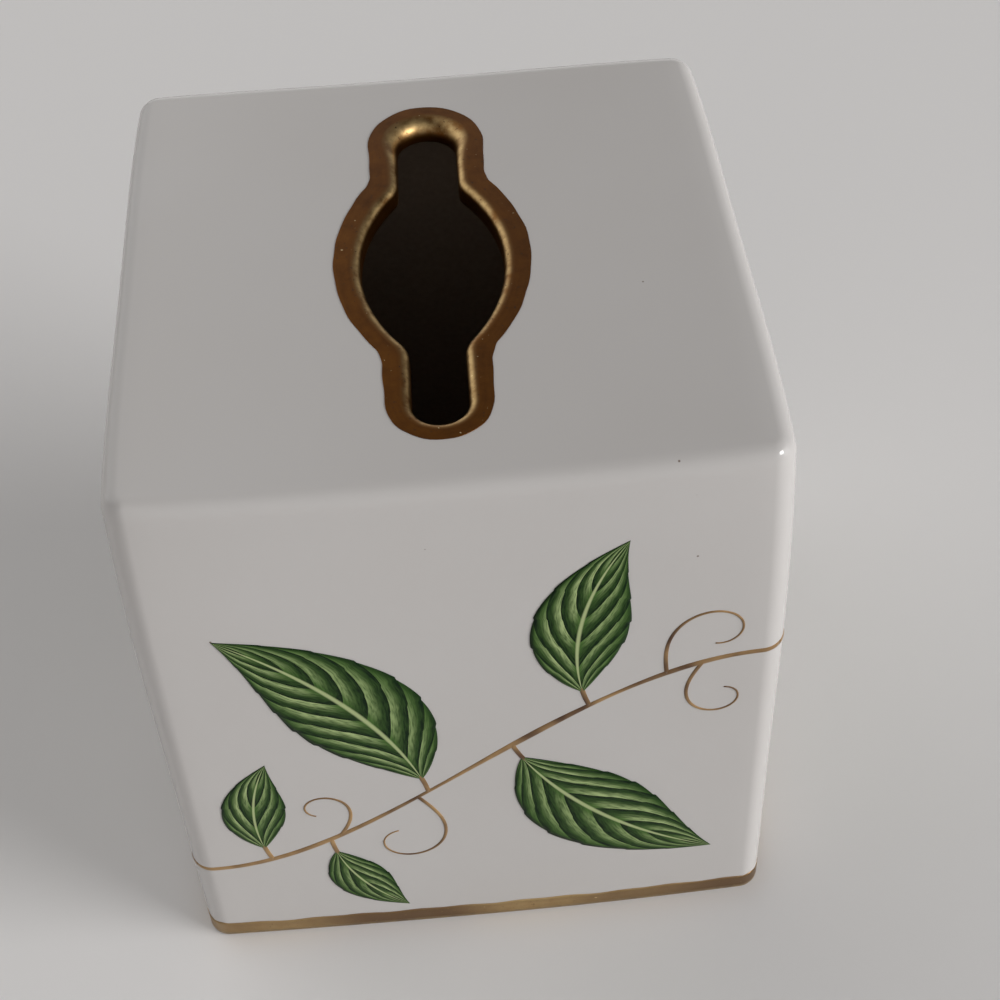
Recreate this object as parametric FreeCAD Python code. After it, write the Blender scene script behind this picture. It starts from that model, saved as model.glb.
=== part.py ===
"""Tissue box cover: a slip-cast ceramic shell, glazed, with fired gilding and painted enamel foliage.

Units are millimetres. The origin is the middle of the foot, +Z is up and the front is at -Y.
The cover is open below, so that it drops over a square tissue carton.
"""

import FreeCAD
import Part
import math
import os

Vector = FreeCAD.Vector

# Outside of the glazed cover; the widths are across the flats, before the edges are rounded
BASE_WIDTH = 132.0
TOP_WIDTH = 124.0
HEIGHT = 150.0
CORNER_RADIUS = 4.8
TOP_EDGE_RADIUS = 3.8

# Thicknesses of the finished wall, glaze included, and the rounding inside it
WALL = 4.5
TOP_THICKNESS = 4.5
INNER_CORNER_RADIUS = 4.0
INNER_EDGE_RADIUS = 3.0

# Coats fired on the clay: glaze, films of gold and enamel, and the strip of foot that stays bare
GLAZE = 0.4
FILM = 0.15
BARE_FOOT = 0.6

# Opening for the tissue: two shallow arcs make a lens, which runs out into a round-ended slot each way;
# it was cut by hand, so it lies a little forward of the middle and askew, and its rear slot is the wider one
LENS_HALF_WIDTH = 14.3
LENS_RADIUS = 37.5
FRONT_SLOT_HALF_WIDTH = 5.4
REAR_SLOT_HALF_WIDTH = 6.4
SLOT_HALF_LENGTH = 44.2
OPENING_FORWARD = 1.8
OPENING_TURN_DEG = -1.2
NECK_RADIUS = 6.0
LIP_RADIUS = 1.5

# Gilding: the band round the opening, whose brush rounds the necks more widely, and the line on the foot
OPENING_BAND = 5.2
BAND_NECK_RADIUS = 9.0
FOOT_BAND = 5.5

# Vine on each side: the stem's height at its low corner, and how far below the top its high one is
STEM_LOW = 31.0
STEM_DROP = 55.0
STEM_WIDTH = 1.6
STALK_WIDTH = 1.3
STALK_LENGTH = 6.5
STALK_SHOWN_SHARE = 0.8
STALK_BEND_SHARE = 0.25
TENDRIL_WIDTH = 1.1
TENDRIL_TAPER = 0.6

# Leaves along the vine: share of the stem's run, heading and bend in degrees, length and width
LEAF_SHARES = (0.115, 0.23, 0.42, 0.575, 0.71)
LEAF_HEADINGS_DEG = (106.0, -86.0, 98.0, -72.0, 110.0)
LEAF_BENDS_DEG = (-34.0, 36.0, 38.0, 38.0, -44.0)
LEAF_LENGTHS = (33.0, 30.0, 65.0, 62.0, 47.0)
LEAF_WIDTHS = (14.0, 13.0, 27.0, 26.0, 19.5)

# Outline of a leaf: how far its widest place leans to the stalk, and how sharply its ends are drawn out
LEAF_LEAN = 0.85
LEAF_POINT = 1.05

# Tendrils along the vine: share of the stem's run, heading and turn in degrees, length
TENDRIL_SHARES = (0.25, 0.40, 0.84, 0.90)
TENDRIL_HEADINGS_DEG = (62.0, -58.0, 96.0, -116.0)
TENDRIL_TURNS_DEG = (280.0, -290.0, -290.0, 290.0)
TENDRIL_LENGTHS = (29.0, 44.0, 40.0, 33.0)

SIDES = ("front", "right", "back", "left")
OUTLINE_STEPS = 10
CURL_STEPS = 200
TOUCH = 1e-5

SLOPE = (BASE_WIDTH - TOP_WIDTH) / 2 / HEIGHT
DRAFT = math.atan(SLOPE)
CEILING = HEIGHT - TOP_THICKNESS
STEM_HIGH = HEIGHT - STEM_DROP
ORIGIN = Vector(0, 0, 0)
ALONG = Vector(1, 0, 0)
UP = Vector(0, 0, 1)


def half_width(height):
    """Half the width across the flats at a height, before the edges are rounded."""
    return BASE_WIDTH / 2 - height * SLOPE


def square(half, height):
    """Closed square wire about the Z axis."""
    corners = [Vector(x * half, y * half, height) for x, y in ((-1, -1), (1, -1), (1, 1), (-1, 1))]
    return Part.makePolygon(corners + corners[:1])


def at_height(edge, height):
    """True if an edge lies in the level plane at a height."""
    box = edge.BoundBox
    return max(abs(box.ZMin - height), abs(box.ZMax - height)) < TOUCH


def lies_on(edge, wire):
    """True if the middle of an edge is on a wire."""
    middle = edge.valueAt((edge.FirstParameter + edge.LastParameter) / 2)
    return Part.Vertex(middle).distToShape(wire)[0] < TOUCH


def drafted_block(outset, floor, top, corner_radius, edge_radius):
    """Solid block with the cover's draft, its sides moved out by outset and its upper edges rounded."""
    grow = outset / math.cos(DRAFT)
    rings = [square(half_width(z) + grow, z) for z in (floor, top)]
    block = Part.makeLoft(rings, True, True)
    uprights = [e for e in block.Edges if e.BoundBox.ZLength > TOUCH]
    block = block.makeFillet(corner_radius, uprights)
    return block.makeFillet(edge_radius, [e for e in block.Edges if at_height(e, top)])


def outside(coat):
    """The cover's outside as a solid block, with a coat of this thickness added."""
    return drafted_block(coat, 0, HEIGHT + coat, CORNER_RADIUS + coat, TOP_EDGE_RADIUS + coat)


def cavity():
    """The space for the carton, run out below the foot."""
    return drafted_block(-WALL, -TOP_THICKNESS, CEILING, INNER_CORNER_RADIUS, INNER_EDGE_RADIUS)


def slot_corner(half, outset, neck):
    """Points of the opening from the lens into a slot: end of the lens, middle and end of the neck, cap."""
    lens_centre = LENS_HALF_WIDTH - LENS_RADIUS
    lens = LENS_RADIUS + outset
    slot = half + outset
    neck_x = slot + neck
    neck_y = math.sqrt((lens + neck) ** 2 - (neck_x - lens_centre) ** 2)
    turn = math.atan2(neck_y, neck_x - lens_centre)
    lens_end = (lens_centre + lens * math.cos(turn), lens * math.sin(turn))
    neck_middle = (neck_x - neck * math.cos(turn / 2), neck_y - neck * math.sin(turn / 2))
    cap_start = (slot, SLOT_HALF_LENGTH - half)
    return lens_end, neck_middle, (slot, neck_y), cap_start, (0, SLOT_HALF_LENGTH + outset)


def opening_outline(outset, neck, height):
    """Closed wire of the tissue opening, moved out by outset, with necks of a radius of their own."""

    def place(xy, x_sign, y_sign):
        return Vector(x_sign * xy[0], y_sign * xy[1], height)

    def arc(*points):
        return Part.Arc(*points).toShape()

    widest = (LENS_HALF_WIDTH + outset, 0)
    edges = []
    lens_ends = []
    for half, y_sign in ((FRONT_SLOT_HALF_WIDTH, -1), (REAR_SLOT_HALF_WIDTH, 1)):
        corner = slot_corner(half, outset, neck)
        right, left = ([place(xy, x_sign, y_sign) for xy in corner] for x_sign in (1, -1))
        for points in (right, left):
            edges.append(arc(*points[:3]))
            edges.append(Part.makeLine(points[2], points[3]))
        edges.append(arc(right[3], right[4], left[3]))
        lens_ends.append((right[0], left[0]))
    for front_end, rear_end, x_sign in zip(*lens_ends, (1, -1)):
        edges.append(arc(front_end, place(widest, x_sign, 1), rear_end))
    outline = Part.Wire(Part.__sortEdges__(edges))
    outline.rotate(ORIGIN, UP, OPENING_TURN_DEG)
    outline.translate(Vector(0, -OPENING_FORWARD, 0))
    return outline


def hole_outline(coat, height):
    """Outline of the hole itself, narrowed by a coat on its wall."""
    return opening_outline(-coat, NECK_RADIUS + coat, height)


def prism(outline, top):
    """Upright solid on a level outline."""
    face = Part.Face(outline)
    return face.extrude(UP * (top - face.BoundBox.ZMin))


def pierced(block, coat, top):
    """Cuts the tissue opening, narrowed by a coat, through a block and rounds the lip at its top."""
    block = block.cut(prism(hole_outline(coat, CEILING - TOP_THICKNESS), HEIGHT + TOP_THICKNESS))
    outline = hole_outline(coat, top)
    lip = [e for e in block.Edges if at_height(e, top) and lies_on(e, outline)]
    return block.makeFillet(LIP_RADIUS + coat, lip)


def shell(coat):
    """The whole hollow cover with a coat of this thickness on its outside and in its opening."""
    return pierced(outside(coat).cut(cavity()), coat, HEIGHT + coat)


def level_slab(low, high):
    """Flat slab between two heights, wider than the cover."""
    return Part.makeBox(2 * BASE_WIDTH, 2 * BASE_WIDTH, high - low, Vector(-BASE_WIDTH, -BASE_WIDTH, low))


def ceramic_body():
    """The fired clay, bare inside and drawn in from the glazed surface by the glaze."""
    return shell(-GLAZE)


def glaze_coat(body):
    """The glaze on the outside and in the opening, wiped off the foot before firing."""
    return shell(0).cut(body).common(level_slab(BARE_FOOT, 2 * HEIGHT))


def opening_gilding():
    """Gold film on the flat round the opening, over its lip and down its wall."""

    def collar(coat):
        top = HEIGHT + coat
        band = opening_outline(OPENING_BAND, BAND_NECK_RADIUS, CEILING)
        return pierced(prism(band, top), coat, top)

    return collar(FILM).cut(collar(0))


def outside_film():
    """Thin film over the whole outside of the cover, from which painted bands are cut."""
    return outside(FILM).cut(outside(0))


def foot_gilding(film):
    """Gold film round the foot, above the bare clay."""
    return film.common(level_slab(BARE_FOOT, FOOT_BAND))


def spline(points):
    """Smooth edge through points of a side's own plane, where x runs along the side and y up it."""
    curve = Part.BSplineCurve()
    curve.interpolate([Vector(x, y, 0) for x, y in points])
    return curve.toShape()


def painted(centre, half):
    """Film along a line centre(u), half(u) wide to each side, lying flat; u runs from 0 to 1."""
    rows = ([], [])
    for step in range(OUTLINE_STEPS + 1):
        u = step / OUTLINE_STEPS
        x, y, heading = centre(u)
        for row, reach in zip(rows, (half(u), -half(u))):
            row.append((x - reach * math.sin(heading), y + reach * math.cos(heading)))
    edges = [spline(row) for row in rows]
    for end in (0, -1):
        first, last = (Vector(*row[end], 0) for row in rows)
        if first.distanceToPoint(last) > TOUCH:
            edges.append(Part.makeLine(first, last))
    return Part.Face(Part.Wire(Part.__sortEdges__(edges))).extrude(UP * FILM)


def bent_line(base, heading, length, bend):
    """Line that leaves base at a heading and turns evenly by bend."""

    def centre(u):
        now = heading + bend * u
        x = base[0] + length / bend * (math.sin(now) - math.sin(heading))
        y = base[1] - length / bend * (math.cos(now) - math.cos(heading))
        return x, y, now

    return centre


def curling_line(base, heading, length, turn):
    """Line that leaves base at a heading and curls tighter and tighter, by turn in all."""

    def centre(u):
        x, y = base
        stretch = length * u / CURL_STEPS
        for step in range(CURL_STEPS):
            now = heading + turn * (u * (step + 0.5) / CURL_STEPS) ** 2
            x += stretch * math.cos(now)
            y += stretch * math.sin(now)
        return x, y, heading + turn * u**2

    return centre


def stem_end(height):
    """How far along a side the flat runs before the corner's rounding, at a height of the stem."""
    return half_width(height * math.cos(DRAFT)) - CORNER_RADIUS


def stem_line(u):
    """The stem of the vine: an even S from the low corner to the high one, level at both ends."""
    low_end = -stem_end(STEM_LOW)
    span = stem_end(STEM_HIGH) - low_end
    climb = STEM_HIGH - STEM_LOW
    heading = math.atan2(climb * 6 * u * (1 - u), span)
    return low_end + span * u, STEM_LOW + climb * u * u * (3 - 2 * u), heading


def stalk_line(share, heading, bend):
    """The stalk that joins a leaf to the stem."""
    return bent_line(stem_line(share)[:2], heading, STALK_LENGTH, STALK_BEND_SHARE * bend)


def leaf(stalk, length, width, bend):
    """A bay leaf on its stalk: a long oval, drawn to a point at both ends."""
    x, y, heading = stalk(STALK_SHOWN_SHARE)
    midrib = bent_line((x, y), heading, length, bend)
    return painted(midrib, lambda u: width / 2 * max(0.0, math.sin(math.pi * u**LEAF_LEAN)) ** LEAF_POINT)


def tendril(share, heading, turn, length):
    """A fine tendril that tapers along its curl."""
    line = curling_line(stem_line(share)[:2], math.radians(heading), length, math.radians(turn))
    return painted(line, lambda u: TENDRIL_WIDTH / 2 * (1 - TENDRIL_TAPER * u))


def vine():
    """The leaves of one side, and its stem, stalks and tendrils as one brushed line, all lying flat."""
    bends = [math.radians(bend) for bend in LEAF_BENDS_DEG]
    headings = [math.radians(heading) for heading in LEAF_HEADINGS_DEG]
    stalks = [stalk_line(*stalk) for stalk in zip(LEAF_SHARES, headings, bends)]
    leaves = [leaf(*shape) for shape in zip(stalks, LEAF_LENGTHS, LEAF_WIDTHS, bends)]
    lines = [painted(stalk, lambda u: STALK_WIDTH / 2) for stalk in stalks]
    for curl in zip(TENDRIL_SHARES, TENDRIL_HEADINGS_DEG, TENDRIL_TURNS_DEG, TENDRIL_LENGTHS):
        lines.append(tendril(*curl))
    stem = painted(stem_line, lambda u: STEM_WIDTH / 2)
    return leaves, stem.multiFuse(lines).cut(leaves).removeSplitter()


def on_side(flat, side):
    """Stands a film that lies flat on one of the four sides, turned left to right on every other one."""
    film = flat.mirror(ORIGIN, ALONG) if side % 2 else flat.copy()
    film.rotate(ORIGIN, ALONG, 90 - math.degrees(DRAFT))
    film.translate(Vector(0, -half_width(0), 0))
    film.rotate(ORIGIN, UP, 90 * side)
    return film


def stem_corner(film, side):
    """The stem's level stretch round the corner at the right of a side."""
    along = STEM_LOW if side % 2 else STEM_HIGH
    level = along * math.cos(DRAFT)
    flat = stem_end(along)
    corner = Part.makeBox(BASE_WIDTH, BASE_WIDTH, STEM_WIDTH)
    corner.translate(Vector(flat, -flat - BASE_WIDTH, level - STEM_WIDTH / 2))
    corner.rotate(ORIGIN, UP, 90 * side)
    return film.common(corner)


def build():
    """Every node of the cover, as its solids by name."""
    film = outside_film()
    body = ceramic_body()
    nodes = {
        "ceramic_body": body.Solids,
        "glaze_coat": glaze_coat(body).Solids,
        "opening_gilding": opening_gilding().Solids,
        "foot_gilding": foot_gilding(film).Solids,
    }
    leaves, lines = vine()
    for side, name in enumerate(SIDES):
        nodes[f"{name}_vine"] = on_side(lines, side).Solids + stem_corner(film, side).Solids
        for number, flat in enumerate(leaves, 1):
            nodes[f"{name}_leaf_{number}"] = on_side(flat, side).Solids
    return nodes


os.makedirs("parts", exist_ok=True)
for node, solids in build().items():
    shape = Part.makeCompound(solids)
    shape.exportStep(f"parts/{node}.step")
    state = "valid" if shape.isValid() else "not valid"
    print(f"{node}: {len(solids)} solids, {shape.Volume:.2f} mm3, {state}")
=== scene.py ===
"""Looks of a ceramic tissue box cover: white glaze, gilding and painted foliage.

Sizes are millimetres until a mesh is drawn, and Blender's own metres after that, which the
stage and the camera are in as well. The front is at -Y.
"""

from __future__ import annotations

import logging
import math
from dataclasses import dataclass, field
from enum import Enum
from typing import Any, Callable

import bpy
import numpy as np
from mathutils import Matrix, Vector

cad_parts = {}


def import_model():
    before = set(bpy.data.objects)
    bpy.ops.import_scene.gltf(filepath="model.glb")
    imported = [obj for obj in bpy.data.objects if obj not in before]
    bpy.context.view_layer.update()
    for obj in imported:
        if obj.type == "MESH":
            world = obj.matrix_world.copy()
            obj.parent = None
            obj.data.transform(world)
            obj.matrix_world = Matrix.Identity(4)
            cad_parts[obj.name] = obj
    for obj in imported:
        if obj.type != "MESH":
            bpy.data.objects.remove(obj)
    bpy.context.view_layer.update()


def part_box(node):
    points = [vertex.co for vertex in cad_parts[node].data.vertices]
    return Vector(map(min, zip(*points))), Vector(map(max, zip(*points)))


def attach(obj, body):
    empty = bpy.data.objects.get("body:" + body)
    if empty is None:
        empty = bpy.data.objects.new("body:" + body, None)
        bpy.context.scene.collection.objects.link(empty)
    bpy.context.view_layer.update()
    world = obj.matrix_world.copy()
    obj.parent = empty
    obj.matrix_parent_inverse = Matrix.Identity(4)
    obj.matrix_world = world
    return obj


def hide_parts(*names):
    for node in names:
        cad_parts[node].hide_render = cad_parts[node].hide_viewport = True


log = logging.getLogger("tissue_box_cover")

MM = 0.001
BODY = "root"
# Points nearer to each other than this, in metres, become one
WELD = 2e-6
# Least and most of the sizes that waves of a hand-drawn edge have to each other
WAVE_SIZES = (0.4, 1.0)

# A Mix node's colour sockets share their names with those for numbers, so they go by number
MIX_A = 6
MIX_B = 7
MIX_RESULT = 2

Range = tuple[float, float]


class Side(Enum):
    """The four sides, numbered as they follow each other round the cover."""

    FRONT = 0
    RIGHT = 1
    BACK = 2
    LEFT = 3

    @property
    def label(self) -> str:
        """The side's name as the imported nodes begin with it."""
        return self.name.lower()

    @property
    def turn(self) -> Matrix:
        """Turn about the upright axis from the front to this side."""
        return Matrix.Rotation(math.radians(90 * self.value), 3, "Z")

    @property
    def mirrored(self) -> bool:
        """True on every other side, where the vine runs the other way."""
        return self.value % 2 == 1


class Slot(Enum):
    """The record's material slots."""

    CLAY = "clay"
    GLAZE = "glaze"
    GOLD = "gold_lustre"
    LEAF = "leaf_enamel"
    VINE = "vine_enamel"


def colour(code: str) -> tuple[float, float, float, float]:
    """Turns an sRGB hex value into a linear colour.

    Args:
        code: Six hex digits after a hash sign.

    Returns:
        Linear red, green and blue, and full alpha.
    """
    parts = [int(code[place : place + 2], 16) / 255 for place in (1, 3, 5)]
    linear = [
        part / 12.92 if part <= 0.04045 else ((part + 0.055) / 1.055) ** 2.4 for part in parts
    ]
    return (*linear, 1.0)


def per_metre(spacing: float) -> float:
    """Scale of a pattern on Object coordinates that repeats about every spacing millimetres."""
    return 1 / (spacing * MM)


def add(
    tree: bpy.types.NodeTree,
    kind: str,
    inputs: dict[str | int, Any] | None = None,
    **settings: Any,
) -> bpy.types.Node:
    """Adds a shader node with its settings and links.

    Args:
        tree: Node tree of the material or world.
        kind: Type of the node, without the prefix that all shader nodes share.
        inputs: Values or output sockets for the node's inputs, by name or number.
        settings: Properties of the node itself.

    Returns:
        The new node.
    """
    node = tree.nodes.new("ShaderNode" + kind)
    for name, value in settings.items():
        setattr(node, name, value)
    for key, value in (inputs or {}).items():
        if isinstance(value, bpy.types.NodeSocket):
            tree.links.new(value, node.inputs[key])
        else:
            node.inputs[key].default_value = value
    return node


def blank_material(name: str) -> bpy.types.Material:
    """Makes a material with an empty node tree.

    Args:
        name: Name of the material.

    Returns:
        The material.
    """
    material = bpy.data.materials.new(name)
    material.use_nodes = True
    material.node_tree.nodes.clear()
    return material


@dataclass(frozen=True)
class FiredClay:
    """Bare earthenware on the wiped foot and inside: dry grey brown, fine grained, no gloss."""

    pale: str = "#A99580"
    dark: str = "#8F7B68"
    # Real grains are about 0.1 mm across, too fine to show, so they are drawn coarser
    grain: float = 1.2
    roughness: float = 0.9

    def material(self) -> bpy.types.Material:
        """Makes the clay's material.

        Returns:
            The material.
        """
        material = blank_material("bare_fired_clay")
        tree = material.node_tree
        place = add(tree, "TexCoord").outputs["Object"]
        grains = add(
            tree,
            "TexNoise",
            {"Vector": place, "Scale": per_metre(self.grain), "Detail": 3.0},
        )
        mixed = add(
            tree,
            "Mix",
            {0: grains.outputs[0], MIX_A: colour(self.pale), MIX_B: colour(self.dark)},
            data_type="RGBA",
        )
        shader = add(
            tree,
            "BsdfPrincipled",
            {"Base Color": mixed.outputs[MIX_RESULT], "Roughness": self.roughness},
        )
        add(tree, "OutputMaterial", {"Surface": shader.outputs[0]})
        return material


@dataclass(frozen=True)
class WhiteGlaze:
    """White glaze sprayed on and fired glossy: faintly clouded, with pinholes down to the clay."""

    white: str = "#C4C1BF"
    cloud: str = "#C0BCB9"
    pinhole: str = "#74655A"
    cloud_spacing: float = 38.0
    pinhole_spacing: float = 15.0
    pinhole_radius: float = 0.3
    ripple_spacing: float = 6.0
    ripple_height: float = 0.012
    roughness: float = 0.16
    ior: float = 1.5

    def material(self) -> bpy.types.Material:
        """Makes the glaze's material.

        Returns:
            The material.
        """
        material = blank_material("glossy_white_glaze")
        tree = material.node_tree
        place = add(tree, "TexCoord").outputs["Object"]
        clouds, ripples = (
            add(
                tree,
                "TexNoise",
                {"Vector": place, "Scale": per_metre(spacing), "Detail": detail},
            ).outputs[0]
            for spacing, detail in ((self.cloud_spacing, 2.0), (self.ripple_spacing, 1.0))
        )
        cells = add(
            tree,
            "TexVoronoi",
            {"Vector": place, "Scale": per_metre(self.pinhole_spacing)},
        )
        radius = self.pinhole_radius / self.pinhole_spacing
        holes = add(
            tree,
            "MapRange",
            {
                "Value": cells.outputs["Distance"],
                "From Min": radius / 2,
                "From Max": radius,
                "To Min": 1.0,
                "To Max": 0.0,
            },
        ).outputs[0]
        tone = colour(self.white)
        for share, over in ((clouds, self.cloud), (holes, self.pinhole)):
            tone = add(
                tree,
                "Mix",
                {0: share, MIX_A: tone, MIX_B: colour(over)},
                data_type="RGBA",
            ).outputs[MIX_RESULT]
        bump = add(tree, "Bump", {"Height": ripples, "Distance": self.ripple_height * MM})
        shader = add(
            tree,
            "BsdfPrincipled",
            {
                "Base Color": tone,
                "Roughness": self.roughness,
                "IOR": self.ior,
                "Normal": bump.outputs[0],
            },
        )
        add(tree, "OutputMaterial", {"Surface": shader.outputs[0]})
        return material


@dataclass(frozen=True)
class GoldLustre:
    """Gold lustre brushed on the glaze and fired: streaked, brown where thick, pale on the lip.

    The streaks follow the piece's UV map, which runs round the band in x and across it in y. The
    lip's pale tone is partly rubbed wear and partly a painted highlight.
    """

    name: str
    run: float
    width: float
    lip: float
    lip_reach: float
    # Brown gold: the lustre's own tone, darkened further as painted shade for the dim surroundings
    # that the band's flat reflects; the brown below is darkened the same way
    gold: str = "#774A1B"
    brown: str = "#55320F"
    brown_spread: float = 0.25
    thick: str = "#4E2D0D"
    thick_share: float = 0.3
    thick_spacing: float = 45.0
    thick_range: Range = (0.42, 0.6)
    # Pale gold along the lip: partly rubbed wear, partly a painted highlight for the light that the
    # lip catches
    rubbed: str = "#CBAE7A"
    rub_most: float = 0.9
    rub_least: float = 0.15
    rub_range: Range = (0.35, 0.6)
    worn: str = "#4A3423"
    worn_range: Range = (0.66, 0.74)
    # Sparse bright specks of this colour are painted glints
    glint: str = "#E8D3A6"
    glint_range: Range = (0.255, 0.225)
    streak_length: float = 26.0
    streak_width: float = 0.9
    streak_share: float = 0.3
    mottle_spacing: float = 4.0
    grit: float = 0.65
    speck_spacing: float = 0.9
    roughness: float = 0.34
    dull: float = 0.5

    def material(self) -> bpy.types.Material:
        """Makes the lustre's material.

        Returns:
            The material.
        """
        material = blank_material(self.name)
        tree = material.node_tree
        coordinates = add(tree, "TexCoord")
        place, wrap = coordinates.outputs["Object"], coordinates.outputs["UV"]
        mottle, drift, specks = (
            add(tree, "TexNoise", {"Vector": place, "Scale": per_metre(spacing), **more}).outputs[0]
            for spacing, more in (
                (self.mottle_spacing, {"Detail": 6.0, "Roughness": self.grit}),
                (self.thick_spacing, {"Detail": 1.0}),
                (self.speck_spacing, {"Detail": 2.0}),
            )
        )
        brushed = self.brushed(tree, wrap, mottle)
        thin_at, thick_at = self.thick_range
        heavy = add(
            tree,
            "MapRange",
            {
                "Value": drift,
                "From Min": thin_at,
                "From Max": thick_at,
                "To Max": self.thick_share,
            },
            interpolation_type="SMOOTHSTEP",
        ).outputs[0]
        bare, bright = (
            add(
                tree,
                "MapRange",
                {"Value": specks, "From Min": start, "From Max": end},
            ).outputs[0]
            for start, end in (self.worn_range, self.glint_range)
        )
        tone = colour(self.gold)
        layers = (
            (brushed, self.brown),
            (heavy, self.thick),
            # Pale along the lip: rubbed wear and painted highlight
            (self.rub(tree, wrap, mottle), self.rubbed),
            (bare, self.worn),
            (bright, self.glint),
        )
        for share, over in layers:
            tone = add(
                tree,
                "Mix",
                {0: share, MIX_A: tone, MIX_B: colour(over)},
                data_type="RGBA",
            ).outputs[MIX_RESULT]
        gloss = add(
            tree,
            "MapRange",
            {"Value": brushed, "To Min": self.roughness, "To Max": self.dull},
        )
        shader = add(
            tree,
            "BsdfPrincipled",
            {"Base Color": tone, "Metallic": 1.0, "Roughness": gloss.outputs[0]},
        )
        add(tree, "OutputMaterial", {"Surface": shader.outputs[0]})
        return material

    def brushed(
        self,
        tree: bpy.types.NodeTree,
        wrap: bpy.types.NodeSocket,
        mottle: bpy.types.NodeSocket,
    ) -> bpy.types.NodeSocket:
        """Says where the brush left the film brown, in streaks along the band.

        Args:
            tree: The material's nodes.
            wrap: The piece's UV map.
            mottle: Mottling of the film.

        Returns:
            Share of the brown.
        """
        streak_scale = (self.run / self.streak_length, self.width / self.streak_width, 1.0)
        stretched = add(tree, "Mapping", {"Vector": wrap, "Scale": streak_scale})
        streaks = add(
            tree,
            "TexNoise",
            {"Vector": stretched.outputs[0], "Scale": 1.0, "Detail": 3.0},
            noise_dimensions="2D",
        )
        both = add(
            tree,
            "Math",
            {0: streaks.outputs[0], 1: self.streak_share, 2: mottle},
            operation="MULTIPLY_ADD",
        )
        middle = (1 + self.streak_share) / 2
        return add(
            tree,
            "MapRange",
            {
                "Value": both.outputs[0],
                "From Min": middle - self.brown_spread,
                "From Max": middle + self.brown_spread,
            },
        ).outputs[0]

    def rub(
        self,
        tree: bpy.types.NodeTree,
        wrap: bpy.types.NodeSocket,
        mottle: bpy.types.NodeSocket,
    ) -> bpy.types.NodeSocket:
        """Says where the film is pale along the lip, unevenly: partly rubbed wear, partly painted
        highlight.

        Args:
            tree: The material's nodes.
            wrap: The piece's UV map.
            mottle: Mottling of the film.

        Returns:
            Share of the pale colour of wear and painted highlight.
        """
        crossed = add(tree, "SeparateXYZ", {0: wrap})
        away = add(tree, "Math", {0: crossed.outputs["Y"], 1: self.lip}, operation="SUBTRACT")
        off_lip = add(tree, "Math", {0: away.outputs[0]}, operation="ABSOLUTE")
        # Strongest on the lip and fading off it: wear and painted highlight
        lip_wear_and_highlight = add(
            tree,
            "MapRange",
            {
                "Value": off_lip.outputs[0],
                "From Max": self.lip_reach,
                "To Min": self.rub_most,
                "To Max": 0.0,
            },
            interpolation_type="SMOOTHSTEP",
        )
        start, end = self.rub_range
        uneven = add(
            tree,
            "MapRange",
            {"Value": mottle, "From Min": start, "From Max": end, "To Min": self.rub_least},
        )
        return add(
            tree,
            "Math",
            {0: lip_wear_and_highlight.outputs[0], 1: uneven.outputs[0]},
            operation="MULTIPLY",
        ).outputs[0]


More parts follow.
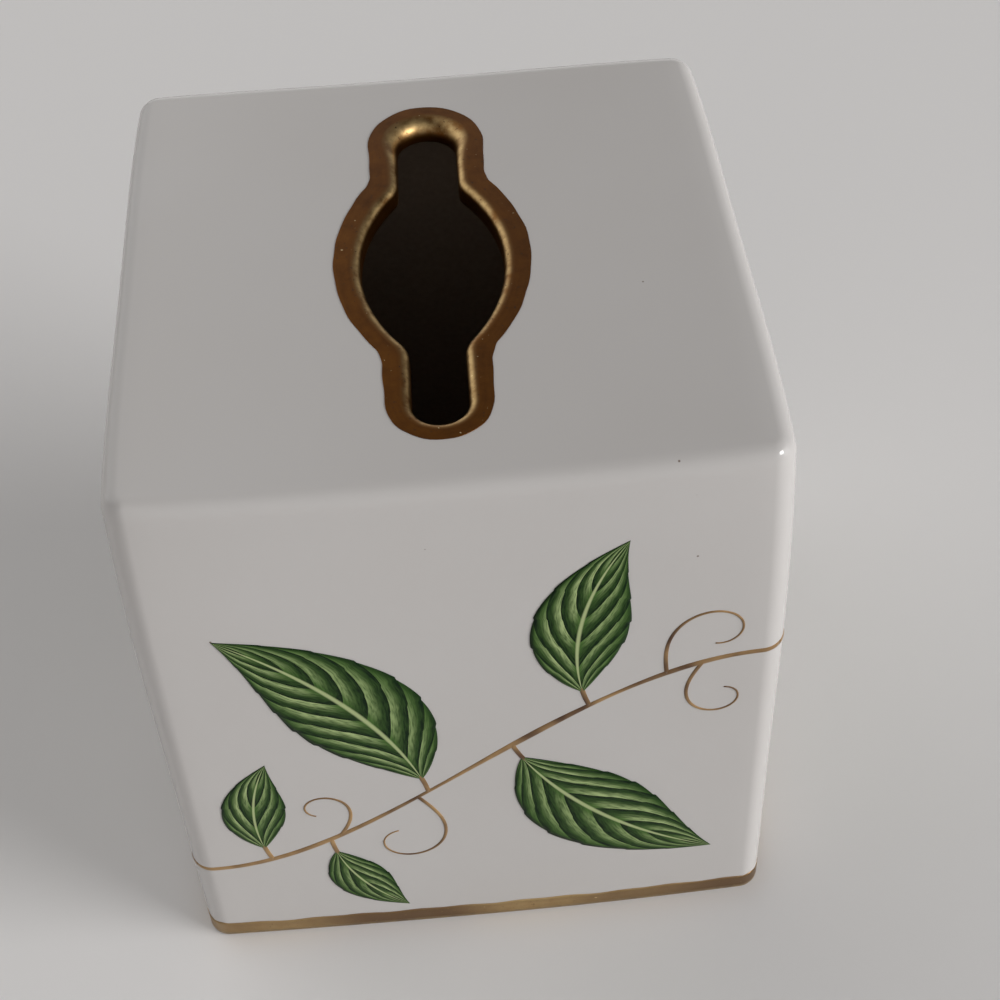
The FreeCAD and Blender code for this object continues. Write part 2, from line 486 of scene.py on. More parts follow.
@dataclass(frozen=True)
class LeafEnamel:
    """Overglaze enamel in greens, one brush stroke for each side vein, fired to a dull gloss.

    The strokes follow the leaf's UV map: across the leaf in x, and from stalk to tip in y.
    """

    name: str
    veins: int
    dark: str = "#0C200D"
    middle: str = "#4B6E31"
    pale: str = "#AEBF86"
    rib: str = "#B2BE8A"
    sweep: float = 2.9
    bow: float = 1.25
    wander_spacing: float = 14.0
    wander: float = 0.35
    # Marks on each stroke, fewer than a real brush leaves, so that they show
    bristles: float = 9.0
    bristle_tone: float = 0.8
    stroke_tone: float = 0.85
    darkening: float = 0.42
    rim_range: Range = (0.86, 1.0)
    rim_share: float = 0.75
    rib_range: Range = (0.02, 0.055)
    rib_share: float = 0.9
    wiped_stroke: Range = (0.35, 0.95)
    wiped_inside: Range = (0.04, 0.3)
    wiped_outside: Range = (0.55, 0.97)
    wiped_halves: Range = (0.95, 0.6)
    halves_meet: Range = (-0.05, 0.05)
    wiped_bristles: Range = (0.3, 0.65)
    wiped_least: float = 0.25
    roughness: float = 0.3
    ior: float = 1.16

    def material(self) -> bpy.types.Material:
        """Makes the leaf's material.

        Returns:
            The material.
        """
        material = blank_material(self.name)
        tree = material.node_tree
        coordinates = add(tree, "TexCoord")
        parts = add(tree, "SeparateXYZ", {0: coordinates.outputs["UV"]})
        centred = add(
            tree,
            "Math",
            {0: parts.outputs[0], 1: 2.0, 2: -1.0},
            operation="MULTIPLY_ADD",
        ).outputs[0]
        out = add(tree, "Math", {0: centred}, operation="ABSOLUTE").outputs[0]
        stroke = self.stroke(tree, coordinates.outputs["Object"], parts.outputs[1], out)
        saw = add(tree, "Math", {0: stroke}, operation="FRACT").outputs[0]
        streak_place = add(tree, "CombineXYZ", {0: stroke, 1: out})
        streaks = add(
            tree,
            "TexNoise",
            {"Vector": streak_place.outputs[0], "Scale": self.bristles, "Detail": 2.0},
            noise_dimensions="2D",
        ).outputs[0]
        loaded = add(
            tree,
            "Math",
            {0: streaks, 1: self.bristle_tone, 2: -self.darkening},
            operation="MULTIPLY_ADD",
        )
        body = add(
            tree,
            "Math",
            {0: saw, 1: self.stroke_tone, 2: loaded.outputs[0]},
            operation="MULTIPLY_ADD",
            use_clamp=True,
        ).outputs[0]
        rim_start, rim_end = self.rim_range
        rim = add(
            tree,
            "MapRange",
            {"Value": out, "From Min": rim_start, "From Max": rim_end, "To Max": self.rim_share},
            interpolation_type="SMOOTHSTEP",
        ).outputs[0]
        rib_start, rib_end = self.rib_range
        midrib = add(
            tree,
            "MapRange",
            {
                "Value": out,
                "From Min": rib_start,
                "From Max": rib_end,
                "To Min": self.rib_share,
                "To Max": 0.0,
            },
        ).outputs[0]
        tone = colour(self.dark)
        layers = (
            (body, self.middle),
            (self.wiped(tree, saw, streaks, centred, out), self.pale),
            (rim, self.dark),
            (midrib, self.rib),
        )
        for share, over in layers:
            tone = add(
                tree,
                "Mix",
                {0: share, MIX_A: tone, MIX_B: colour(over)},
                data_type="RGBA",
            ).outputs[MIX_RESULT]
        shader = add(
            tree,
            "BsdfPrincipled",
            {"Base Color": tone, "Roughness": self.roughness, "IOR": self.ior},
        )
        add(tree, "OutputMaterial", {"Surface": shader.outputs[0]})
        return material

    def stroke(
        self,
        tree: bpy.types.NodeTree,
        place: bpy.types.NodeSocket,
        along: bpy.types.NodeSocket,
        out: bpy.types.NodeSocket,
    ) -> bpy.types.NodeSocket:
        """Numbers the brush strokes, which leave the midrib and sweep towards the tip.

        Args:
            tree: The material's nodes.
            place: Object coordinates.
            along: Share of the way from stalk to tip.
            out: Share of the way from midrib to rim.

        Returns:
            A value that grows by one from each stroke to the next.
        """
        noise = add(
            tree,
            "TexNoise",
            {"Vector": place, "Scale": per_metre(self.wander_spacing), "Detail": 1.0},
        )
        bowed = add(tree, "Math", {0: out, 1: self.bow}, operation="POWER")
        count = -self.wander / 2
        for value, factor in (
            (noise.outputs[0], self.wander),
            (along, float(self.veins)),
            (bowed.outputs[0], -self.sweep),
        ):
            count = add(
                tree,
                "Math",
                {0: value, 1: factor, 2: count},
                operation="MULTIPLY_ADD",
            ).outputs[0]
        return count

    def wiped(
        self,
        tree: bpy.types.NodeTree,
        saw: bpy.types.NodeSocket,
        streaks: bpy.types.NodeSocket,
        centred: bpy.types.NodeSocket,
        out: bpy.types.NodeSocket,
    ) -> bpy.types.NodeSocket:
        """Says where a stroke is wiped pale: on its far edge, within the rim, more on one half.

        Args:
            tree: The material's nodes.
            saw: Share of the way across a stroke.
            streaks: Bristle marks.
            centred: Share of the way to the rim, negative on one half.
            out: Share of the way to the rim.

        Returns:
            Share of the pale colour.
        """
        limits = (
            (saw, self.wiped_stroke, (0.0, 1.0), "SMOOTHSTEP"),
            (out, self.wiped_inside, (0.0, 1.0), "SMOOTHSTEP"),
            (out, self.wiped_outside, (1.0, 0.0), "SMOOTHSTEP"),
            (centred, self.halves_meet, self.wiped_halves, "LINEAR"),
            (streaks, self.wiped_bristles, (self.wiped_least, 1.0), "LINEAR"),
        )
        share = 1.0
        for value, (start, end), (first, last), blend in limits:
            factor = add(
                tree,
                "MapRange",
                {
                    "Value": value,
                    "From Min": start,
                    "From Max": end,
                    "To Min": first,
                    "To Max": last,
                },
                interpolation_type=blend,
            )
            share = add(
                tree,
                "Math",
                {0: share, 1: factor.outputs[0]},
                operation="MULTIPLY",
            ).outputs[0]
        return share


@dataclass(frozen=True)
class VineEnamel:
    """Overglaze enamel in ochre brown, drawn with a liner brush: it pools dark in places."""

    ochre: str = "#A08056"
    brown: str = "#553C29"
    pool_spacing: float = 9.0
    pool_range: Range = (0.35, 0.65)
    roughness: float = 0.28
    ior: float = 1.3

    def material(self) -> bpy.types.Material:
        """Makes the line's material.

        Returns:
            The material.
        """
        material = blank_material("ochre_line_enamel")
        tree = material.node_tree
        place = add(tree, "TexCoord").outputs["Object"]
        pools = add(
            tree,
            "TexNoise",
            {"Vector": place, "Scale": per_metre(self.pool_spacing), "Detail": 2.0},
        )
        start, end = self.pool_range
        spread = add(
            tree,
            "MapRange",
            {"Value": pools.outputs[0], "From Min": start, "From Max": end},
        )
        mixed = add(
            tree,
            "Mix",
            {0: spread.outputs[0], MIX_A: colour(self.ochre), MIX_B: colour(self.brown)},
            data_type="RGBA",
        )
        shader = add(
            tree,
            "BsdfPrincipled",
            {
                "Base Color": mixed.outputs[MIX_RESULT],
                "Roughness": self.roughness,
                "IOR": self.ior,
            },
        )
        add(tree, "OutputMaterial", {"Surface": shader.outputs[0]})
        return material


@dataclass(frozen=True)
class MattPaper:
    """Plain pale paper under the cover: matt, so that it shows the shadow and no gloss."""

    tint: str = "#E7E5E4"

    def material(self) -> bpy.types.Material:
        """Makes the paper's material.

        Returns:
            The material.
        """
        material = blank_material("pale_matt_paper")
        tree = material.node_tree
        shader = add(
            tree,
            "BsdfPrincipled",
            {"Base Color": colour(self.tint), "Roughness": 1.0, "Specular IOR Level": 0.0},
        )
        add(tree, "OutputMaterial", {"Surface": shader.outputs[0]})
        return material


def loft(name: str, rows: np.ndarray) -> bpy.types.Object:
    """Draws a grid out over rows of points and welds it where it meets itself.

    Args:
        name: Name of the piece.
        rows: Points by row and column, in millimetres.

    Returns:
        The piece, with a UV map that runs along the columns in x and the rows in y.
    """
    bpy.ops.object.select_all(action="DESELECT")
    bpy.ops.mesh.primitive_grid_add(
        x_subdivisions=rows.shape[1] - 1,
        y_subdivisions=rows.shape[0] - 1,
        size=1,
    )
    piece = bpy.context.object
    piece.name = piece.data.name = name
    put_points(piece, rows.reshape(-1, 3))
    bpy.ops.object.mode_set(mode="EDIT")
    bpy.ops.mesh.select_all(action="SELECT")
    bpy.ops.mesh.remove_doubles(threshold=WELD)
    bpy.ops.object.mode_set(mode="OBJECT")
    bpy.ops.object.shade_smooth()
    return piece


def get_points(piece: bpy.types.Object) -> np.ndarray:
    """Reads a piece's points.

    Args:
        piece: A mesh piece.

    Returns:
        One row of x, y and z for each point, in millimetres.
    """
    flat = np.empty(3 * len(piece.data.vertices), np.float32)
    piece.data.vertices.foreach_get("co", flat)
    return flat.reshape(-1, 3).astype(float) / MM


def put_points(piece: bpy.types.Object, points: np.ndarray) -> None:
    """Moves a piece's points.

    Args:
        piece: A mesh piece.
        points: One row of x, y and z for each point, in millimetres.
    """
    piece.data.vertices.foreach_set("co", (points * MM).astype(np.float32).ravel())
    piece.data.update()


def pick(*pieces: bpy.types.Object) -> None:
    """Selects pieces and nothing else, and makes the first of them the active one.

    Args:
        pieces: The pieces.
    """
    bpy.ops.object.select_all(action="DESELECT")
    for piece in pieces:
        piece.select_set(True)
    bpy.context.view_layer.objects.active = pieces[0]


def face_outwards(piece: bpy.types.Object) -> None:
    """Turns the faces of a closed piece outwards.

    Args:
        piece: A closed mesh piece.
    """
    pick(piece)
    bpy.ops.object.mode_set(mode="EDIT")
    bpy.ops.mesh.select_all(action="SELECT")
    bpy.ops.mesh.normals_make_consistent(inside=False)
    bpy.ops.object.mode_set(mode="OBJECT")


def install(
    piece: bpy.types.Object,
    material: bpy.types.Material,
    node: str,
) -> None:
    """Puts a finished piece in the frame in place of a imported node.

    Args:
        piece: The piece.
        material: Its material.
        node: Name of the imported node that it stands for.
    """
    piece.data.materials.clear()
    piece.data.materials.append(material)
    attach(piece, BODY)
    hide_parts(node)


def closed(ring: np.ndarray) -> np.ndarray:
    """Repeats the first point of a ring at its end."""
    return np.concatenate([ring, ring[:1]])


def level(ring: np.ndarray, height: float | np.ndarray) -> np.ndarray:
    """Lifts a plan ring to a height, or to a height of its own for each point."""
    return np.column_stack([ring, np.broadcast_to(height, len(ring))])


def outward(ring: np.ndarray) -> np.ndarray:
    """Finds the outward directions of a plan ring.

    Args:
        ring: Points of a ring that runs counter-clockwise.

    Returns:
        One unit direction for each point.
    """
    along = np.roll(ring, -1, axis=0) - np.roll(ring, 1, axis=0)
    normals = np.column_stack([along[:, 1], -along[:, 0]])
    return normals / np.linalg.norm(normals, axis=1, keepdims=True)


def four_quarters(rear: np.ndarray, front: np.ndarray) -> np.ndarray:
    """Makes a whole ring of two quarters that run from the +X axis to the Y axis.

    Args:
        rear: Quarter towards +Y, both ends included.
        front: Quarter towards -Y as if it were mirrored to +Y, both ends included.

    Returns:
        The ring, counter-clockwise from the +X axis.
    """
    return np.concatenate(
        [
            rear[:-1],
            (rear * (-1, 1))[:0:-1],
            (front * (-1, -1))[:-1],
            (front * (1, -1))[:0:-1],
        ]
    )


def hand_wobble(
    shares: np.ndarray,
    reach: float,
    waves: tuple[int, ...],
    seed: int,
) -> np.ndarray:
    """Draws the wobble of a hand-drawn edge that closes on itself.

    Args:
        shares: Shares of the way round.
        reach: About how far the edge strays, in millimetres.
        waves: Numbers of waves in one round.
        seed: Starts the random choice of sizes and phases.

    Returns:
        How far the edge strays at each share, in millimetres.
    """
    rng = np.random.default_rng(seed)
    sizes = rng.uniform(*WAVE_SIZES, len(waves))
    phases = rng.uniform(0, 2 * math.pi, len(waves))
    swings = [
        size * np.sin(2 * math.pi * wave * shares + phase)
        for size, wave, phase in zip(sizes, waves, phases)
    ]
    return reach * np.sum(swings, axis=0) / math.sqrt(len(waves))


@dataclass(frozen=True)
class Unevenness:
    """Slow swells that a casting keeps from its mould and from the kiln."""

    seed: int = 11
    waves: int = 7
    height: float = 0.05
    shortest: float = 45.0
    longest: float = 120.0

    def at(self, points: np.ndarray) -> np.ndarray:
        """Finds how far the surface stands proud.

        Args:
            points: One row of x, y and z for each point, in millimetres.

        Returns:
            One height for each point, in millimetres.
        """
        rng = np.random.default_rng(self.seed)
        headings = rng.normal(size=(self.waves, 3))
        headings /= np.linalg.norm(headings, axis=1, keepdims=True)
        lengths = rng.uniform(self.shortest, self.longest, self.waves)
        phases = rng.uniform(0, 2 * math.pi, self.waves)
        angles = points @ (headings * 2 * math.pi / lengths[:, None]).T + phases
        return self.height * np.sin(angles).sum(axis=1)


@dataclass(frozen=True)
class KilnSlump:
    """How the casting gave way in the kiln: its sides bow out, its top sags, its corners soften.

    The powers keep each to its place: the bow low on the sides, the sag to the top, and the
    softening to the top's corners.
    """

    bow: float = 1.1
    sag: float = 0.9
    soften: float = 1.3

    def settle(self, points: np.ndarray, half: np.ndarray, height: float) -> np.ndarray:
        """Moves points of the cover to where they settled.

        Args:
            points: Points in millimetres; the last axis is x, y and z.
            half: Half the cover's width at each point.
            height: Height of the cover.

        Returns:
            The moved points.
        """
        across, deep, up = (points[..., axis] for axis in range(3))
        x, y, z = across / half, deep / half, up / height
        corner = (x * y) ** 4 * z**6
        moved = points.copy()
        for axis, (own, other) in enumerate(((x, y), (y, x))):
            bowed = self.bow * (1 - other**2) * own**3 * (1 - z)
            moved[..., axis] += bowed - self.soften * corner * np.sign(own)
        moved[..., 2] += self.sag * ((x * y) ** 2 - 1) * z**4
        return moved


@dataclass
class CoverForm:
    """Outside and inside of the glazed cover, in millimetres."""

    foot_half: float
    foot: float
    height: float
    flare: float = 4.0
    corner_radius: float = 4.8
    edge_radius: float = 3.8
    wall: float = 4.5
    top_thickness: float = 4.5
    inner_corner_radius: float = 4.0
    inner_edge_radius: float = 3.0
    side_steps: int = 17
    corner_steps: int = 14
    unevenness: Unevenness = field(default_factory=Unevenness)
    slump: KilnSlump = field(default_factory=KilnSlump)

    @classmethod
    def from_frame(cls) -> CoverForm:
        """Takes the foot's and the top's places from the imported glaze."""
        low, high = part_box("glaze_coat")
        return cls(foot_half=high.x / MM, foot=low.z / MM, height=high.z / MM)

    @property
    def slope(self) -> float:
        """How far a side leans in for each millimetre of height."""
        return self.flare / self.height

    @property
    def draft(self) -> float:
        """The lean of a side, in radians."""
        return math.atan(self.slope)

    @property
    def ceiling(self) -> float:
        """Height of the flat inside, over the carton."""
        return self.height - self.top_thickness

    def half_width(self, height: float | np.ndarray) -> float | np.ndarray:
        """Half the width across the flats at a height."""
        return self.foot_half + (self.foot - height) * self.slope

    def ring(self, half: float, radius: float, side_steps: int = 0) -> np.ndarray:
        """Draws a square with rounded corners in plan.

        Args:
            half: Half its width.
            radius: Radius of its corners.
            side_steps: Steps on half a side, where they aren't the shell's own.

        Returns:
            Points counter-clockwise from the middle of the right side.
        """
        flat = half - radius
        shares = np.linspace(0, 1, (side_steps or self.side_steps) + 1)
        angles = np.linspace(0, math.pi / 2, self.corner_steps + 1)
        rise = np.column_stack([np.full(len(shares), half), flat * shares])
        corner = flat + radius * np.column_stack([np.cos(angles), np.sin(angles)])
        quarter = np.concatenate([rise[:-1], corner, rise[-2::-1, ::-1]])
        return four_quarters(quarter, quarter)

    def edge(
        self,
        radius: float,
        inset: float,
        top: float,
        corner: float,
        angle: float,
    ) -> tuple[np.ndarray, float]:
        """Draws one ring of the rounding between a side and a level top.

        Args:
            radius: Radius of the rounding.
            inset: How far the side lies inside the outside of the cover.
            top: Height of the level top.
            corner: Radius of the upright corners below the rounding.
            angle: Place on the rounding, from the side's draft to a right angle at the top.

        Returns:
            The ring in plan, and its height.
        """
        height = top - radius
        middle = self.half_width(height) - (radius + inset) / math.cos(self.draft)
        reach = radius * math.cos(angle)
        ring = self.ring(middle + reach, corner - radius + reach)
        return ring, height + radius * math.sin(angle)

    def swell(self, points: np.ndarray, normals: np.ndarray) -> np.ndarray:
        """Moves points of the outside by the casting's unevenness.

        Args:
            points: Points in millimetres.
            normals: Outward directions, or shorter ones where the unevenness fades.

        Returns:
            The moved points.
        """
        return points + normals * self.unevenness.at(points)[:, None]

    def settled(self, points: np.ndarray) -> np.ndarray:
        """Moves points of the cover, in one row or by row and column, as the casting settled."""
        return self.slump.settle(points, self.half_width(points[..., 2]), self.height)

    def wrap(self, name: str, rows: list[np.ndarray]) -> bpy.types.Object:
        """Makes one closed piece of rings whose last is also the first.

        Args:
            name: Name of the piece.
            rows: Rings of points, before the casting settled.

        Returns:
            The piece.
        """
        piece = loft(name, self.settled(np.stack([closed(row) for row in rows])))
        face_outwards(piece)
        return piece

    def on_side(self, side: Side, flat: np.ndarray) -> np.ndarray:
        """Stands flat points on a side, and round its corners where they run past it.

        Args:
            side: The side.
            flat: Places along the side, up its slant and off its surface, in millimetres.

        Returns:
            The points on the cover, in millimetres.
        """
        along, up, lift = flat.T
        if side.mirrored:
            along = -along
        height = up * math.cos(self.draft)
        flat_end = self.half_width(height) - self.corner_radius
        angle = np.maximum(np.abs(along) - flat_end, 0) / self.corner_radius
        sideways = np.sign(along) * np.sin(angle)
        normals = np.column_stack([sideways, -np.cos(angle), np.zeros(len(flat))])
        pivot = np.column_stack([np.clip(along, -flat_end, flat_end), -flat_end, height])
        turn = np.array(side.turn).T
        normals = normals @ turn
        points = (pivot @ turn) + normals * self.corner_radius
        return self.swell(points, normals) + normals * lift[:, None]


@dataclass
class Opening:
    """The lens and the two round-ended slots that the tissue comes through, in millimetres."""

    lens_half: float
    slot_half_length: float
    forward: float
    turn_degrees: float = -1.2
    band: float = 5.2
    lens_radius: float = 37.5
    front_slot_half: float = 5.4
    rear_slot_half: float = 6.4
    neck_radius: float = 6.0
    band_neck_radius: float = 9.0
    lip_radius: float = 1.5
    far_roll: float = 1.9
    far_reach: float = 14.0
    steps: tuple[int, int, int, int] = (18, 8, 8, 14)

    @classmethod
    def from_frame(cls) -> Opening:
        """Takes the opening's width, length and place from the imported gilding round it.

        Returns:
            The opening.
        """
        low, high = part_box("opening_gilding")
        return cls(
            lens_half=high.x / MM - cls.band,
            slot_half_length=(high.y - low.y) / 2 / MM - cls.band,
            forward=-(high.y + low.y) / 2 / MM,
        )

    def quarter(self, slot_half: float, outset: float, neck: float) -> np.ndarray:
        """Draws a quarter of the outline, from the lens's widest place to the end of a slot.

        Args:
            slot_half: Half the slot's width.
            outset: How far the outline is moved out.
            neck: Radius of the neck between lens and slot.

        Returns:
            Points in plan, both ends included.
        """
        lens_steps, neck_steps, side_steps, cap_steps = self.steps
        lens_middle = self.lens_half - self.lens_radius
        lens = self.lens_radius + outset
        slot = slot_half + outset
        neck_x = slot + neck
        neck_y = math.sqrt((lens + neck) ** 2 - (neck_x - lens_middle) ** 2)
        cap_y = self.slot_half_length - slot_half
        turn = math.atan2(neck_y, neck_x - lens_middle)
        swing = np.linspace(0, turn, lens_steps + 1)
        bend = np.linspace(turn, 0, neck_steps + 1)[1:]
        sides = np.linspace(neck_y, cap_y, side_steps + 1)[1:]
        cap = np.linspace(0, math.pi / 2, cap_steps + 1)[1:]
        return np.concatenate(
            [
                np.column_stack([lens_middle + lens * np.cos(swing), lens * np.sin(swing)]),
                np.column_stack([neck_x - neck * np.cos(bend), neck_y - neck * np.sin(bend)]),
                np.column_stack([np.full(side_steps, slot), sides]),
                np.column_stack([slot * np.cos(cap), cap_y + slot * np.sin(cap)]),
            ]
        )

    def outline(self, outset: float, neck: float | None = None) -> np.ndarray:
        """Draws the opening's outline in plan.

        Args:
            outset: How far it is moved out.
            neck: Radius of its necks, where it isn't the hole's own narrowed by the outset.

        Returns:
            Points counter-clockwise from the lens's right end.
        """
        radius = self.neck_radius - outset if neck is None else neck
        rear = self.quarter(self.rear_slot_half, outset, radius)
        front = self.quarter(self.front_slot_half, outset, radius)
        turn = np.array(Matrix.Rotation(math.radians(self.turn_degrees), 2)).T
        return four_quarters(rear, front) @ turn - (0, self.forward)

    def roll(self) -> np.ndarray:
        """Says by how much more the lip was sponged round at the far end.

        Returns:
            One further radius for each point of the outline.
        """
        place = self.outline(0)[:, 1]
        share = np.clip((place - place.max()) / self.far_reach + 1, 0, 1)
        return self.far_roll * share**2 * (3 - 2 * share)

    def throat(
        self,
        form: CoverForm,
        coat: float,
        wall_rows: int,
        lip_rows: int,
        rise: float = 0,
    ) -> list[np.ndarray]:
        """Draws the hole's wall and its rounded lip, from below to the flat of the top.

        Args:
            form: The cover's form.
            coat: Thickness of a coat on the wall and the lip.
            wall_rows: Rows on the wall.
            lip_rows: Rows on the lip.
            rise: How far above the ceiling the wall starts.

        Returns:
            Rings of points.
        """
        roll = self.roll()
        wall = self.outline(-coat)
        away = outward(wall) * roll[:, None]
        low, start = form.ceiling + rise, form.height - self.lip_radius - roll
        shares = np.linspace(0, 1, wall_rows, endpoint=False)
        rows = [level(wall, low + (start - low) * share) for share in shares]
        radius = self.lip_radius + coat
        for angle in np.linspace(0, math.pi / 2, lip_rows):
            ring = self.outline(self.lip_radius - radius * math.cos(angle))
            ring = ring + away * (1 - math.cos(angle))
            rows.append(level(ring, start + (radius + roll) * math.sin(angle)))
        return rows


@dataclass
class CoverSkin:
    """Skins of the cover, at the surface or under it."""

    form: CoverForm
    opening: Opening
    foot: float
    foot_rounding: float = 0.25
    wall_rows: int = 3
    lip_rows: int = 9
    top_rows: int = 12
    edge_rows: int = 10
    side_rows: int = 44
    inner_rows: int = 10
    inner_edge_rows: int = 6
    ceiling_rows: int = 5

    def outer_rows(self, depth: float, rise: float = 0) -> list[np.ndarray]:
        """Draws a skin from the wall of the hole over its lip, the top and the sides to the foot.

        Args:
            depth: How far the skin lies under the glazed surface.
            rise: How far above the ceiling it starts.

        Returns:
            Rings of points.
        """
        form = self.form
        corner, radius = form.corner_radius - depth, form.edge_radius - depth
        high = form.height - depth
        rim, top = form.edge(radius, depth, high, corner, math.pi / 2)
        up = np.array((0, 0, 1.0))
        rows = self.opening.throat(form, -depth, self.wall_rows, self.lip_rows, rise)
        lip = rows[-1][:, :2]
        for share in np.linspace(0, 1, self.top_rows, endpoint=False)[1:]:
            normals = np.tile(up * share, (len(rim), 1))
            rows.append(form.swell(level(lip + (rim - lip) * share, top), normals))
        for angle in np.linspace(math.pi / 2, form.draft, self.edge_rows):
            ring, height = form.edge(radius, depth, high, corner, angle)
            normals = level(outward(ring) * math.cos(angle), math.sin(angle))
            rows.append(form.swell(level(ring, height), normals))
        start = high - radius * (1 - math.sin(form.draft))
        inset = depth / math.cos(form.draft)
        for height in np.linspace(start, self.foot + self.foot_rounding, self.side_rows)[1:]:
            ring = form.ring(form.half_width(height) - inset, corner)
            rows.append(form.swell(level(ring, height), level(outward(ring), 0)))
        ring = form.ring(form.half_width(self.foot) - inset - self.foot_rounding, corner)
        rows.append(form.swell(level(ring, self.foot), level(outward(ring), 0)))
        return rows

    def inner_rows_to(self, hole: np.ndarray) -> list[np.ndarray]:
        """Draws the inside, from the foot over the ceiling to the edge of the hole.

        Args:
            hole: The edge of the hole.

        Returns:
            Rings of points.
        """
        form = self.form
        corner, radius = form.inner_corner_radius, form.inner_edge_radius
        inset = form.wall / math.cos(form.draft)
        start = form.ceiling - radius * (1 - math.sin(form.draft))
        rows = []
        for height in np.linspace(self.foot, start, self.inner_rows, endpoint=False):
            rows.append(level(form.ring(form.half_width(height) - inset, corner), height))
        for angle in np.linspace(form.draft, math.pi / 2, self.inner_edge_rows):
            rows.append(level(*form.edge(radius, form.wall, form.ceiling, corner, angle)))
        rim = rows[-1]
        shares = np.linspace(0, 1, self.ceiling_rows)[1:]
        return rows + [rim + (hole - rim) * share for share in shares]


@dataclass
class ClayBody(CoverSkin):
    """The fired clay, which shows inside and on the wiped ring of the foot."""

    depth: float = 0.4

    @classmethod
    def from_frame(cls, form: CoverForm, opening: Opening) -> ClayBody:
        """Takes the clay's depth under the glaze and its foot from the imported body."""
        low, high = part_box("ceramic_body")
        return cls(form, opening, foot=low.z / MM, depth=form.height - high.z / MM)

    def build(self) -> bpy.types.Object:
        """Draws the clay."""
        rows = self.outer_rows(self.depth)
        return self.form.wrap("clay_body", rows + self.inner_rows_to(rows[0]))

    def dress(self, piece: bpy.types.Object) -> None:
        """Gives the clay its bare finish."""
        install(piece, FiredClay().material(), "ceramic_body")


@dataclass
class GlazedShell(CoverSkin):
    """The glaze on the outside and in the opening, whose lower face is sunk in the clay."""

    sunk: float = 0.8
    rise: float = 0.3

    def build(self) -> bpy.types.Object:
        """Draws the glaze.

        Returns:
            The piece.
        """
        rows = self.outer_rows(0)
        lower = self.outer_rows(self.sunk, self.rise)[::-1]
        return self.form.wrap("glazed_shell", rows + lower + rows[:1])

    def dress(self, piece: bpy.types.Object) -> None:
        """Glazes the shell."""
        install(piece, WhiteGlaze().material(), "glaze_coat")


@dataclass(kw_only=True)
class GoldFilm:
    """A film of gold on the glaze, in which its lower face is sunk."""

    form: CoverForm
    film: float = 0.1
    sunk: float = 0.08

    def skin(self, coat: float) -> list[np.ndarray]:
        """Draws one face of the film, coat off the glaze; each kind of film has its own."""
        raise NotImplementedError

    def draw(self, name: str) -> bpy.types.Object:
        """Draws the film as a closed skin.

        Args:
            name: Name of the piece.

        Returns:
            The piece.
        """
        rows = self.skin(self.film) + self.skin(-self.sunk)[::-1]
        return self.form.wrap(name, rows + rows[:1])


@dataclass(kw_only=True)
class OpeningGold(GoldFilm):
    """The gold brushed round the opening: down its wall, over its lip and out on the flat."""

    opening: Opening
    # Way round the band, and across its upper and lower face, that the UV map stretches over
    run: float = 280.0
    across: float = 25.0
    wobble: float = 0.2
    waves: tuple[int, ...] = (3, 5, 8, 13, 21, 34)
    seed: int = 5
    drift: float = 0.7
    wall_rows: int = 4
    lip_rows: int = 9
    flat_rows: int = 6
    crisp_from: float = 0.985

    def skin(self, coat: float) -> list[np.ndarray]:
        """Draws one face of the film, flat almost to its edge, so that the edge doesn't shine.

        Args:
            coat: How far it stands off the glaze.

        Returns:
            Rings of points, from inside the hole to the brushed edge.
        """
        rows = self.opening.throat(self.form, coat, self.wall_rows, self.lip_rows)
        lip = rows[-1][:, :2]
        edge = self.opening.outline(self.opening.band, self.opening.band_neck_radius)
        shares = np.arange(len(edge)) / len(edge)
        stray = hand_wobble(shares, self.wobble, self.waves, self.seed)
        stray += self.drift * edge[:, 1] / self.opening.slot_half_length
        edge = edge + outward(edge) * stray[:, None]
        for share in (*np.linspace(0, self.crisp_from, self.flat_rows)[1:], 1):
            rows.append(level(lip + (edge - lip) * share, self.form.height + coat))
        return rows

    def build(self) -> bpy.types.Object:
        """Draws the band."""
        return self.draw("opening_gold")

    def dress(self, piece: bpy.types.Object) -> None:
        """Gilds the band.

        Args:
            piece: The band.
        """
        rows = 2 * (self.wall_rows + self.lip_rows + self.flat_rows)
        finish = GoldLustre(
            "opening_gold_lustre",
            run=self.run,
            width=self.across,
            # Where the pale tone of wear and painted highlight lies across the band
            lip=(self.wall_rows + self.lip_rows / 2) / rows,
            lip_reach=self.lip_rows / 2 / rows,
        )
        install(piece, finish.material(), "opening_gilding")


